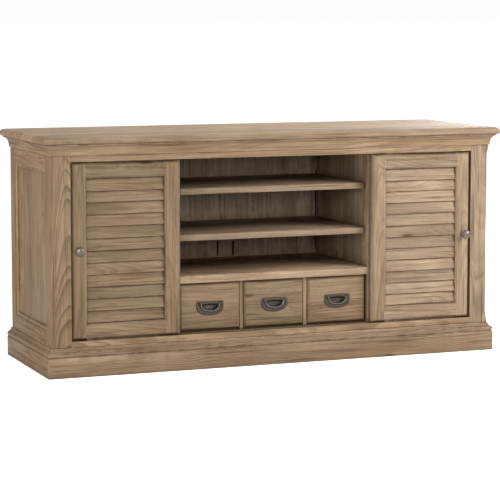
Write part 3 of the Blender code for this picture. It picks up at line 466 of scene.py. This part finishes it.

# %% [markdown]
# ## Wood colours
# Weathered oak is several browns at once: a pale ground, a middle brown, a reddish one, the dark of
# the late rings, the wax and painted shade in the corners, and the bare wood and painted highlight on
# the rubbed edges.  One picked colour would look like paint.  Each board's stain makes all of them a
# little lighter, darker or greyer.

# %% Wood colours and shares
AXES = {"X": 0, "Y": 1, "Z": 2}
ONE_BOARD = 10.0                          # a board width past any piece: no joints
PALE = (0.470, 0.345, 0.215)
MIDDLE = (0.350, 0.246, 0.146)
RUDDY = (0.400, 0.262, 0.165)
DARK = (0.135, 0.078, 0.038)
# dark brown of the pores and knots, and of the wax and painted shade in the corners and creases
GLAZE_AND_SHADE = (0.086, 0.034, 0.009)
# bare wood on the rubbed edges, which also serves as a painted highlight along them
RUBBED_AND_HIGHLIGHT = (0.66, 0.53, 0.38)
LAYERS = (
    # (mask, how much of it, colour, its tone, whether it greys)
    ("Streaks", 0.50, DARK, 1.30, True),
    ("Rings", None, DARK, 1.00, True),
    ("Lines", 0.68, DARK, 0.75, True),
    ("Pores", 0.45, GLAZE_AND_SHADE, 1.00, False),
    ("Knots", 0.80, GLAZE_AND_SHADE, 1.00, False),
)


def shade(colour, tone, grey=0.0):
    """The colour made lighter or darker, and drawn a little way towards grey."""
    middle = sum(colour) / 3
    return (*[(channel + (middle - channel) * grey) * tone for channel in colour], 1)


print("wood colours:", PALE, MIDDLE, DARK)

# %% [markdown]
# ## Where the grain runs
# The patterns are drawn for a board that lies along X, with its width along Y.  Every real board is
# turned its own way, so the place on the surface is centred on the board, its axes are put in order
# of grain, width and thickness, and it is then split into the boards that the piece is glued from.

# %% Grain direction
def grain_of(tree, over, grain, across, seed, board):
    """The place from the middle of the box over, and the outputs of the boards group on it."""
    low, high = over
    place_of = node(tree, "TexCoord").outputs["Object"]
    point = node(tree, "Mapping", {"Vector": place_of, "Location": -(low + high) / 2}).outputs[0]
    xyz = node(tree, "SeparateXYZ", {0: point}).outputs
    third = ({"X", "Y", "Z"} - {grain, across}).pop()
    start = -board / 2
    if board < 1.0:
        start = -(high - low)[AXES[across]] / 2
    order = {0: xyz[AXES[grain]], 1: xyz[AXES[across]], 2: xyz[AXES[third]]}
    turned = node(tree, "CombineXYZ", order).outputs[0]
    sockets = {"Vector": turned, "Board Width": board, "Board Start": start, "Seed": seed}
    return point, use_group(tree, boards, sockets)


print("axes:", AXES)

# %% [markdown]
# ## Wood
# `wood` makes one material for one piece: the ground colours first, then each dark mask over them,
# then the tone of each board, and last the wax and painted shade in the corners, painted shade in the
# creases, and the wear and painted highlight on the edges.  The same masks sink the pores and streaks
# a hair with a bump.

# %% Wood material
# the blush's share, the share of bare wood and painted highlight on the edges, and the extra painted
# shade in the creases
BLUSH, EDGE_WEAR_AND_HIGHLIGHT, JOINT_EXTRA = 0.45, 0.72, 0.2
BOARD_TONES = (0.86, 1.10)


def wood(name, over, grain, across, seed, tone=1.0, board=ONE_BOARD, spacing=0.006, pith=0.05,
         tilt=0.025, figure_depth=0.36, shade_and_wax=0.7, reach=0.012, grey=0.0):
    """A stained oak: grain along one axis, boards side by side along another, over one piece's box."""
    material = bpy.data.materials.new(name)
    material.use_nodes = True
    tree = material.node_tree
    shader = tree.nodes["Principled BSDF"]
    point, split = grain_of(tree, over, grain, across, seed, board)
    sockets = {"Vector": split["Vector"], "Ring Spacing": spacing, "Pith Depth": pith, "Tilt": tilt}
    figure = use_group(tree, oak, sockets)
    shade_patina_and_wear = use_group(tree, shade_and_age, {"Vector": point, "Corner Reach": reach})

    def over_it(base, mask, share, colour):
        return mix(tree, "MIX", times(tree, mask, share), base, colour)

    cloudy = ramp(tree, figure["Cloud"], 0.36, 0.64)
    base = mix(tree, "MIX", cloudy, shade(PALE, tone, grey), shade(MIDDLE, tone, grey))
    base = over_it(base, figure["Blush"], max(0.0, BLUSH - 1.5 * grey), shade(RUDDY, tone, grey))
    for mask, share, colour, darker, greys in LAYERS:
        share = figure_depth if share is None else share
        base = over_it(base, figure[mask], share, shade(colour, tone * darker, grey if greys else 0.0))
    level = ramp(tree, split["Tone"], 0.0, 1.0, *BOARD_TONES)
    level = node(tree, "CombineColor", {0: level, 1: level, 2: level}).outputs[0]
    base = mix(tree, "MULTIPLY", 1.0, base, level)
    # painted shade and dark wax in the corners
    base = over_it(base, shade_patina_and_wear["Corner Shade And Patina"], shade_and_wax, shade(GLAZE_AND_SHADE, tone))
    # painted shade in the creases and gaps between parts
    base = over_it(base, shade_patina_and_wear["Joint Shade"], min(1.0, shade_and_wax + JOINT_EXTRA), shade(GLAZE_AND_SHADE, tone * 0.8))
    # bare wood and a painted highlight on the edges
    base = over_it(base, shade_patina_and_wear["Edges"], EDGE_WEAR_AND_HIGHLIGHT, shade(RUBBED_AND_HIGHLIGHT, tone))
    tree.links.new(base, shader.inputs["Base Color"])

    rough = plus(tree, 0.52, times(tree, figure["Streaks"], 0.18))
    tree.links.new(rough, shader.inputs["Roughness"])
    relief = plus(tree, times(tree, figure["Rings"], -0.5), times(tree, figure["Pores"], -0.8))
    relief = minus(tree, relief, times(tree, figure["Streaks"], 0.4))
    bump = node(tree, "Bump", {"Height": relief, "Strength": 0.45, "Distance": 0.0006})
    tree.links.new(bump.outputs["Normal"], shader.inputs["Normal"])
    shader.inputs["Specular IOR Level"].default_value = 0.28
    return material


print("dark layers:", ", ".join(layer[0] for layer in LAYERS))

# %% [markdown]
# ## Boards with eased edges
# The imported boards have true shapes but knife-sharp edges, and no sanded board has those.  A rounded
# edge could be faked in the shading, but it would vanish from the outline.  So a copy of each board
# has its loose triangles merged and its flats joined up, and a small bevel goes round every edge.

# %% Ease a packed board, and dress a piece
SAME_POINT = 0.00002
SAME_FLAT = math.radians(0.6)
FINE = 0.0012


def eased(name, width=FINE, segments=2, angle=20):
    """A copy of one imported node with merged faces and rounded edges, which stands for that node."""
    piece = copy_of(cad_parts[name], name + "_eased")
    start_edit(piece, "VERT", "SELECT")
    bpy.ops.mesh.remove_doubles(threshold=SAME_POINT)
    bpy.ops.mesh.dissolve_limited(angle_limit=SAME_FLAT)
    end_edit()
    round_edges(piece, width, segments, angle)
    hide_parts(name)
    return piece


def dress(piece, material, body=None):
    """Gives the piece its material, and lets it ride on its body."""
    piece.data.materials.clear()
    piece.data.materials.append(material)
    if body:
        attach(piece, body)
    return piece


# %% [markdown]
# ## Choosing boards for the case
# A maker lays the boards out before cutting and picks each one for its place.  This table does that:
# grain and width directions, a seed that stands for the plank, the stain's tone, which on the front
# posts also holds painted light, and the rings.

# %% The case's boards
case = {
    # node: (grain, across, seed, tone, board width, ring spacing, pith depth)
    # the front posts' tones are painted light: the right one paler as lit from the right, the left one
    # darker as painted shade
    "left_front_post": ("Z", "X", 1.0, 0.84, ONE_BOARD, 0.0045, 0.035),
    "right_front_post": ("Z", "X", 2.0, 1.14, ONE_BOARD, 0.0045, 0.045),
    "left_rear_post": ("Z", "Y", 3.0, 0.88, ONE_BOARD, 0.0050, 0.060),
    "right_rear_post": ("Z", "Y", 4.0, 0.95, ONE_BOARD, 0.0050, 0.060),
    "left_side_top_rail": ("Y", "Z", 5.0, 0.86, ONE_BOARD, 0.0050, 0.050),
    "left_side_bottom_rail": ("Y", "Z", 6.0, 0.86, ONE_BOARD, 0.0050, 0.050),
    "right_side_top_rail": ("Y", "Z", 7.0, 0.95, ONE_BOARD, 0.0050, 0.050),
    "right_side_bottom_rail": ("Y", "Z", 8.0, 0.95, ONE_BOARD, 0.0050, 0.050),
    "left_side_panel": ("Z", "Y", 9.0, 0.88, 0.132, 0.0040, 0.080),
    "right_side_panel": ("Z", "Y", 10.0, 0.95, 0.132, 0.0040, 0.080),
    "face_top_rail": ("X", "Z", 11.0, 0.97, ONE_BOARD, 0.0050, 0.050),
    "face_bottom_rail": ("X", "Z", 12.0, 0.97, ONE_BOARD, 0.0050, 0.045),
    "left_partition": ("Z", "Y", 13.0, 0.92, 0.11, 0.0050, 0.060),
    "right_partition": ("Z", "Y", 14.0, 1.06, 0.11, 0.0050, 0.060),
    "cabinet_floor": ("X", "Y", 15.0, 0.55, 0.12, 0.0050, 0.060),
    "back_panel": ("Z", "X", 16.0, 1.48, 0.062, 0.0045, 0.060),
    "rear_top_rail": ("X", "Z", 17.0, 0.60, ONE_BOARD, 0.0050, 0.060),
    "rear_bottom_rail": ("X", "Z", 18.0, 0.60, ONE_BOARD, 0.0050, 0.060),
    "drawer_deck": ("X", "Y", 19.0, 1.30, 0.11, 0.0055, 0.050),
    "left_drawer_divider": ("Z", "Y", 20.0, 0.92, ONE_BOARD, 0.0050, 0.060),
    "right_drawer_divider": ("Z", "Y", 21.0, 0.92, ONE_BOARD, 0.0050, 0.060),
    "upper_shelf": ("X", "Y", 22.0, 0.86, 0.11, 0.0050, 0.050),
    "lower_shelf": ("X", "Y", 23.0, 0.95, 0.11, 0.0050, 0.050),
    "left_bay_shelf": ("X", "Y", 24.0, 0.60, 0.11, 0.0050, 0.050),
    "right_bay_shelf": ("X", "Y", 25.0, 0.60, 0.11, 0.0050, 0.050),
    "base_front": ("X", "Z", 26.0, 0.98, ONE_BOARD, 0.0042, 0.024),
    "base_left": ("Y", "Z", 27.0, 0.86, ONE_BOARD, 0.0060, 0.040),
    "base_right": ("Y", "Z", 28.0, 0.95, ONE_BOARD, 0.0060, 0.040),
    "base_back": ("X", "Z", 29.0, 0.60, ONE_BOARD, 0.0060, 0.040),
    "crown_front": ("X", "Z", 30.0, 0.89, ONE_BOARD, 0.0055, 0.045),
    "crown_back": ("X", "Z", 31.0, 0.80, ONE_BOARD, 0.0055, 0.045),
    "crown_left": ("Y", "Z", 32.0, 0.88, ONE_BOARD, 0.0055, 0.045),
    "crown_right": ("Y", "Z", 33.0, 0.95, ONE_BOARD, 0.0055, 0.045),
    "top_board": ("X", "Y", 34.0, 1.15, 0.146, 0.0060, 0.050),
}
print("case boards:", len(case))

# %% [markdown]
# ## Dressing the case
# Some boards stand out: the front posts and plinth have bold arches, and the boards deep in the bay
# are greyer, with painted shade that reaches further out of the corners; on the back it is the painted
# shadow under the top rail and shelves.  The back is thin and full of grooves, so it gets only a hair
# of easing, and plain flat shading, which suits its wide flats round the slots.

# %% Ease and dress the case's boards
BACK_EDGE = 0.0003
# shares of painted shade and dark wax in the corners and creases, less on the plinth
BASE_SHADE_AND_WAX, CASE_SHADE_AND_WAX = 0.35, 0.7
unusual = {
    "left_front_post": {"figure_depth": 0.66, "tilt": 0.055},
    # the right front post's grey is painted light falling from the right
    "right_front_post": {"figure_depth": 0.50, "tilt": 0.045, "grey": 0.15},
    "base_front": {"figure_depth": 0.62, "tilt": 0.012},
    "face_bottom_rail": {"figure_depth": 0.50},
    # wider reaches spread the painted shade further from the corners deep in the bay; on the back panel
    # it is the painted shadow under the top rail and shelves
    "back_panel": {"figure_depth": 0.25, "grey": 0.38, "reach": 0.07},
    "top_board": {"grey": 0.10},
    "upper_shelf": {"grey": 0.16, "reach": 0.04},
    "lower_shelf": {"grey": 0.14, "reach": 0.04},
    "left_partition": {"grey": 0.20, "reach": 0.05},
    "right_partition": {"grey": 0.20, "reach": 0.05},
    "drawer_deck": {"grey": 0.12},
}
for name, choice in case.items():
    piece = eased(name, BACK_EDGE if name == "back_panel" else FINE)
    if name == "back_panel":
        bpy.ops.object.shade_flat()
    shade_and_wax = BASE_SHADE_AND_WAX if name.startswith("base") else CASE_SHADE_AND_WAX
    finish = wood(name + "_oak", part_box(name), *choice, shade_and_wax=shade_and_wax, **unusual.get(name, {}))
    dress(piece, finish, "case")
print("boards with a choice of their own:", len(unusual))

# %% [markdown]
# ## Door frames and drawer fronts
# The same easing suits the doors' stiles and rails and the drawer fronts, each riding on its own
# body.  The right door is painted paler and greyer than the left, as painted light falling from the
# right, its inner stile a little less so.

# %% Door frames and drawer fronts
# painted light: the right door paler and greyer as lit from the right, the left darker, the right inner
# stile a little less pale
DOOR_TONE_AND_LIGHT = {"left": 0.77, "right": 1.06}
DOOR_LIT_GREY = {"left": 0.0, "right": 0.12}
INNER_RIGHT = 0.88
for k, side in enumerate(("left", "right")):
    for j, part in enumerate(("outer_stile", "inner_stile", "top_rail", "bottom_rail")):
        grain, across = ("Z", "X") if "stile" in part else ("X", "Z")
        name = f"{side}_door_{part}"
        tone = DOOR_TONE_AND_LIGHT[side] * (INNER_RIGHT if name == "right_door_inner_stile" else 1)
        seed = 40.0 + 7 * k + j
        finish = wood(name + "_oak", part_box(name), grain, across, seed, tone,
                      spacing=0.0045, pith=0.035, grey=DOOR_LIT_GREY[side])
        dress(eased(name), finish, side + "_door")
for k, side in enumerate(("left", "centre", "right")):
    name = side + "_drawer_front"
    finish = wood(name + "_oak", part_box(name), "X", "Z", 60.0 + 3 * k, 0.84,
                  spacing=0.0045, pith=0.045, figure_depth=0.52)
    dress(eased(name), finish, side + "_drawer")
print("door frames: 2, drawer fronts: 3")

# %% [markdown]
# ## One louvre slat
# One slat is a thin board with rounded long edges.  It starts upright, as it comes off the plane, and
# is then leaned back about its lower edge, so that its lip stands forward and its top reaches back.

# %% One slat
SLAT_THICK = 0.006
SLAT_ROUND = 0.42                         # of the thickness, so almost half round
SLAT_IN = 0.0084                          # how far the slat's lip lies behind the door's face
SLAT_SIDE = 0.003
SLAT_OVERLAP = 0.0035


def leaning_slat(name, low, high, lip, back, rise):
    """One slat across the opening, leaned so that its top reaches back."""
    piece = block(name, (low, lip, 0.0), (high, lip + SLAT_THICK, rise))
    round_edges(piece, SLAT_THICK * SLAT_ROUND, 4, 35)
    angle = math.atan2(back - SLAT_THICK - lip, rise)
    start_edit(piece, select="SELECT")
    turn_about = (0, lip + SLAT_THICK / 2, 0)
    bpy.ops.transform.rotate(value=angle, orient_axis="X", center_override=turn_about)
    end_edit()
    return piece


print("slat:", SLAT_THICK * 1000, "mm thick")

# %% [markdown]
# ## Louvred panels
# The slat is copied up the door.  An array modifier would make them all alike, but no two slats of a
# hand-made door lie quite alike, so each copy is moved into place and turned by a hair.  A thin strip
# closes each end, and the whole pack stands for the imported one.

# %% Louvred panels
SLATS = 12
STRIP = 0.0055
WOBBLE = 0.0011
# painted light: the right slats paler and greyer as lit from the right, the left darker
SLAT_TONE_AND_LIGHT = {"left": 0.78, "right": 1.08}
SLAT_LIT_GREY = {"left": 0.0, "right": 0.14}
for k, side in enumerate(("left", "right")):
    low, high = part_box(side + "_door_louvres")
    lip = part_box(side + "_door_outer_stile")[0].y + SLAT_IN
    pitch = (high.z - low.z) / SLATS
    slat = leaning_slat("slat", low.x + SLAT_SIDE, high.x - SLAT_SIDE, lip, high.y - 0.0004,
                        pitch + SLAT_OVERLAP)
    reach = max(v.co.z for v in slat.data.vertices)
    drop = min(v.co.z for v in slat.data.vertices)
    slats = []
    for i in range(SLATS):
        one = copy_of(slat, f"{side}_slat_{i}")
        lift = low.z + i * pitch - drop + 0.0003
        if i == SLATS - 1:
            lift -= reach - drop - pitch + 0.0008
        wobble = WOBBLE * math.sin(12.9 * i + 4.1 * k)
        start_edit(one, select="SELECT")
        bpy.ops.transform.translate(value=(0, 0, lift))
        turn_about = ((low.x + high.x) / 2, 0, lift)
        bpy.ops.transform.rotate(value=wobble, orient_axis="Y", center_override=turn_about)
        end_edit()
        slats.append(one)
    bpy.data.objects.remove(slat)
    for end in (low.x, high.x - STRIP):
        slats.append(block("strip", (end, lip, low.z), (end + STRIP, high.y, high.z)))
    pack = join(side + "_door_slats", slats)
    # the reach sets how far the painted shade spreads under each slat's lip
    finish = wood(side + "_slat_oak", (low, high), "X", "Z", 70.0 + k, SLAT_TONE_AND_LIGHT[side], board=pitch,
                  spacing=0.0045, pith=0.030, reach=0.008, grey=SLAT_LIT_GREY[side])
    dress(pack, finish, side + "_door")
    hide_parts(side + "_door_louvres")
print("slats in each door:", SLATS)

# %% [markdown]
# ## Dark pewter
# Old pulls are nearly black in their hollows and rubbed bright along their rims.  The same corner and
# edge masks give both, over a metal whose roughness is a little blotchy.

# %% Pewter and steel materials
def pewter(name, body_colour, rim_colour, hollow_colour, roughness):
    material = bpy.data.materials.new(name)
    material.use_nodes = True
    tree = material.node_tree
    shader = tree.nodes["Principled BSDF"]
    point = node(tree, "TexCoord").outputs["Object"]
    shade_patina_and_wear = use_group(tree, shade_and_age, {"Vector": point, "Corner Reach": 0.008, "Edge Width": 0.0012})
    blotch = stretched(tree, point, (220.0, 220.0, 220.0), 3.0)
    dull = [channel * 0.65 for channel in body_colour]
    colour = mix(tree, "MIX", ramp(tree, blotch, 0.35, 0.65), (*body_colour, 1), (*dull, 1))
    colour = mix(tree, "MIX", times(tree, shade_patina_and_wear["Corner Shade And Patina"], 0.85), colour, (*hollow_colour, 1))
    colour = mix(tree, "MIX", times(tree, shade_patina_and_wear["Edges"], 0.8), colour, (*rim_colour, 1))
    tree.links.new(colour, shader.inputs["Base Color"])
    rough = plus(tree, roughness, times(tree, blotch, 0.25))
    tree.links.new(rough, shader.inputs["Roughness"])
    bump = node(tree, "Bump", {"Height": blotch, "Strength": 0.3, "Distance": 0.0003})
    tree.links.new(bump.outputs["Normal"], shader.inputs["Normal"])
    shader.inputs["Metallic"].default_value = 1.0
    return material


metals = {
    # metal: (body, rubbed rims, hollows, roughness)
    "dark_pewter": ((0.14, 0.118, 0.098), (0.42, 0.38, 0.33), (0.010, 0.009, 0.008), 0.34),
    "bail_pewter": ((0.40, 0.36, 0.32), (0.66, 0.61, 0.55), (0.10, 0.09, 0.08), 0.24),
    "knob_pewter": ((0.27, 0.225, 0.20), (0.55, 0.50, 0.45), (0.03, 0.025, 0.02), 0.30),
    "track_steel": ((0.07, 0.066, 0.06), (0.16, 0.15, 0.14), (0.01, 0.01, 0.01), 0.35),
}
metals = {name: pewter(name, *colours) for name, colours in metals.items()}
print("metals:", ", ".join(metals))

# %% [markdown]
# ## Turning on a lathe
# A knob is turned on a lathe.  Spinning an outline would leave many points at its centre, so here
# the lathe is a circle that is extruded and resized, one step for each change in the outline.

# %% A lathe
def turned(name, centre, outline, sides=40):
    """A round piece facing -Y: outline is (radius, how far out) from its foot to its cap."""
    radius, out = outline[0]
    turn = (math.pi / 2, 0, 0)
    start = (centre[0], centre[1] - out, centre[2])
    bpy.ops.mesh.primitive_circle_add(
        vertices=sides, radius=radius, fill_type="NGON", location=start, rotation=turn
    )
    piece = bpy.context.object
    piece.name = name
    settle(piece)
    start_edit(piece, select="SELECT")
    for wide, far in outline[1:]:
        bpy.ops.mesh.extrude_region_move(TRANSFORM_OT_translate={"value": (0, out - far, 0)})
        size = wide / radius
        bpy.ops.transform.resize(value=(size, 1, size))
        radius, out = wide, far
    bpy.ops.mesh.select_all(action="SELECT")
    bpy.ops.mesh.normals_make_consistent(inside=False)
    end_edit()
    pick(piece)
    bpy.ops.object.shade_smooth_by_angle(angle=math.radians(38))
    return piece


print("one turn of the lathe:", 360 / 40, "degrees a side")

# %% [markdown]
# ## Knobs
# Each knob has a flat rosette, a thin neck and a rounded cap with a ring cut in its face.  The foot
# is measured from the door and the cap from the knob's front, so both fit whatever the neck's length.

# %% Turned knobs
FOOT = (
    # (share of the knob's radius, distance out from the door)
    (0.78, 0.0), (0.78, 0.0012), (0.74, 0.0020), (0.62, 0.0023), (0.58, 0.0032),
    (0.50, 0.0036), (0.38, 0.0060), (0.32, 0.0095),
)
CAP = (
    # (share of the knob's radius, distance back from its front)
    (0.32, 0.0140), (0.38, 0.0122), (0.60, 0.0108), (0.84, 0.0096), (0.96, 0.0082), (1.0, 0.0066),
    (0.97, 0.0048), (0.90, 0.0033), (0.82, 0.0026), (0.78, 0.0030), (0.72, 0.0026),
    (0.50, 0.0011), (0.25, 0.0003), (0.04, 0.0001),
)
for side in ("left", "right"):
    low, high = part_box(side + "_door_knob")
    middle = (low + high) / 2
    reach = high.y - low.y
    r = (high.x - low.x) / 2 - 0.0001
    outline = [(r * wide, out) for wide, out in FOOT]
    outline += [(r * wide, reach - back) for wide, back in CAP]
    knob = turned(side + "_knob_turned", (middle.x, high.y, middle.z), outline)
    dress(knob, metals["knob_pewter"], side + "_door")
    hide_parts(side + "_door_knob")
print("knobs: 2, across:", round(2 * r * 1000, 1), "mm")

# %% [markdown]
# ## Pulls
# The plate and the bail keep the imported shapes, with their rims rounded so that the light catches.

# %% Drawer pulls
for side in ("left", "centre", "right"):
    plate = eased(side + "_pull_plate", 0.0004, 2)
    dress(plate, metals["dark_pewter"], side + "_drawer")
    ring = eased(side + "_pull_bail", 0.0002, 1)
    dress(ring, metals["bail_pewter"], side + "_bail")
print("pulls: 3")

# %% [markdown]
# ## Black material for the slots' shadow
# The slots show only shadow, so a matt, almost black material stands for it: a painted shadow.  A
# very fine noise gives it a felt-like fuzz in both the colour and the bump.

# %% Black slot-shadow material
FUZZ = (900.0, 900.0, 900.0)
slot_shade = bpy.data.materials.new("black_slot_shade")
slot_shade.use_nodes = True
tree = slot_shade.node_tree
shader = tree.nodes["Principled BSDF"]
fuzz = stretched(tree, node(tree, "TexCoord").outputs["Object"], FUZZ, 3.0)
# near-black colours of the painted shadow, with a faint lint
deep, lint = (0.006, 0.006, 0.006, 1), (0.020, 0.019, 0.018, 1)
black = mix(tree, "MIX", ramp(tree, fuzz, 0.3, 0.7), deep, lint)
tree.links.new(black, shader.inputs["Base Color"])
bump = node(tree, "Bump", {"Height": fuzz, "Strength": 0.6, "Distance": 0.0005})
tree.links.new(bump.outputs["Normal"], shader.inputs["Normal"])
shader.inputs["Roughness"].default_value = 0.95
shader.inputs["Specular IOR Level"].default_value = 0.1
print("felt:", slot_shade.name)

# %% [markdown]
# ## Black strips behind the slots
# Cords leave through narrow slots in the back.  Each slot is closed behind with a strip of the black
# material, a painted shadow for the dark seen through the slot.  A strip is a thin block, pinched
# along its middle and rounded.

# %% Black shadow strips
SHADE_STRIP_THICK = 0.003
PINCH = 0.0012
PARTITION_LAP = 0.007                     # how far a vent slot runs past the partition's face


def shade_strip(name, x, width, z0, z1, y):
    strip = block(name, (x - width / 2, y, z0), (x + width / 2, y + SHADE_STRIP_THICK, z1))
    start_edit(strip, select="SELECT")
    bpy.ops.mesh.subdivide(number_cuts=6)
    choose(strip, "VERT", lambda v: abs(v.co.x - x) < 0.001 and v.co.y > y + 0.001)
    bpy.ops.transform.translate(value=(0, -PINCH, 0))
    end_edit()
    round_edges(strip, 0.0004, 2, 40)
    dress(strip, slot_shade, "case")


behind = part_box("back_panel")[1].y + 0.0003
deck_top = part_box("drawer_deck")[1].z
shelf_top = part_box("upper_shelf")[1].z
bay_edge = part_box("right_partition")[0].x + PARTITION_LAP
for i, x in enumerate((-0.045, 0.016)):
    shade_strip(f"cord_slot_shade_{i}", x, 0.024, deck_top + 0.002, deck_top + 0.068, behind)
for i, side in enumerate((-1, 1)):
    x = side * (bay_edge - 0.005)
    shade_strip(f"vent_shade_{i}", x, 0.020, deck_top + 0.004, shelf_top + 0.020, behind)
print("felt strips: 4")

# %% [markdown]
# ## What stays as packed
# The drawer boxes and the door tracks are mostly hidden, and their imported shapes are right.  They
# keep them, and only get a finish.

# %% Drawer boxes and tracks
for k, side in enumerate(("left", "centre", "right")):
    name = side + "_drawer_box"
    finish = wood(name + "_wood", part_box(name), "Y", "X", 80.0 + k, 0.62, board=0.08)
    dress(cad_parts[name], finish)
for name in ("door_bottom_track", "door_top_track"):
    dress(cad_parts[name], metals["track_steel"])
print("kept as packed: 5")
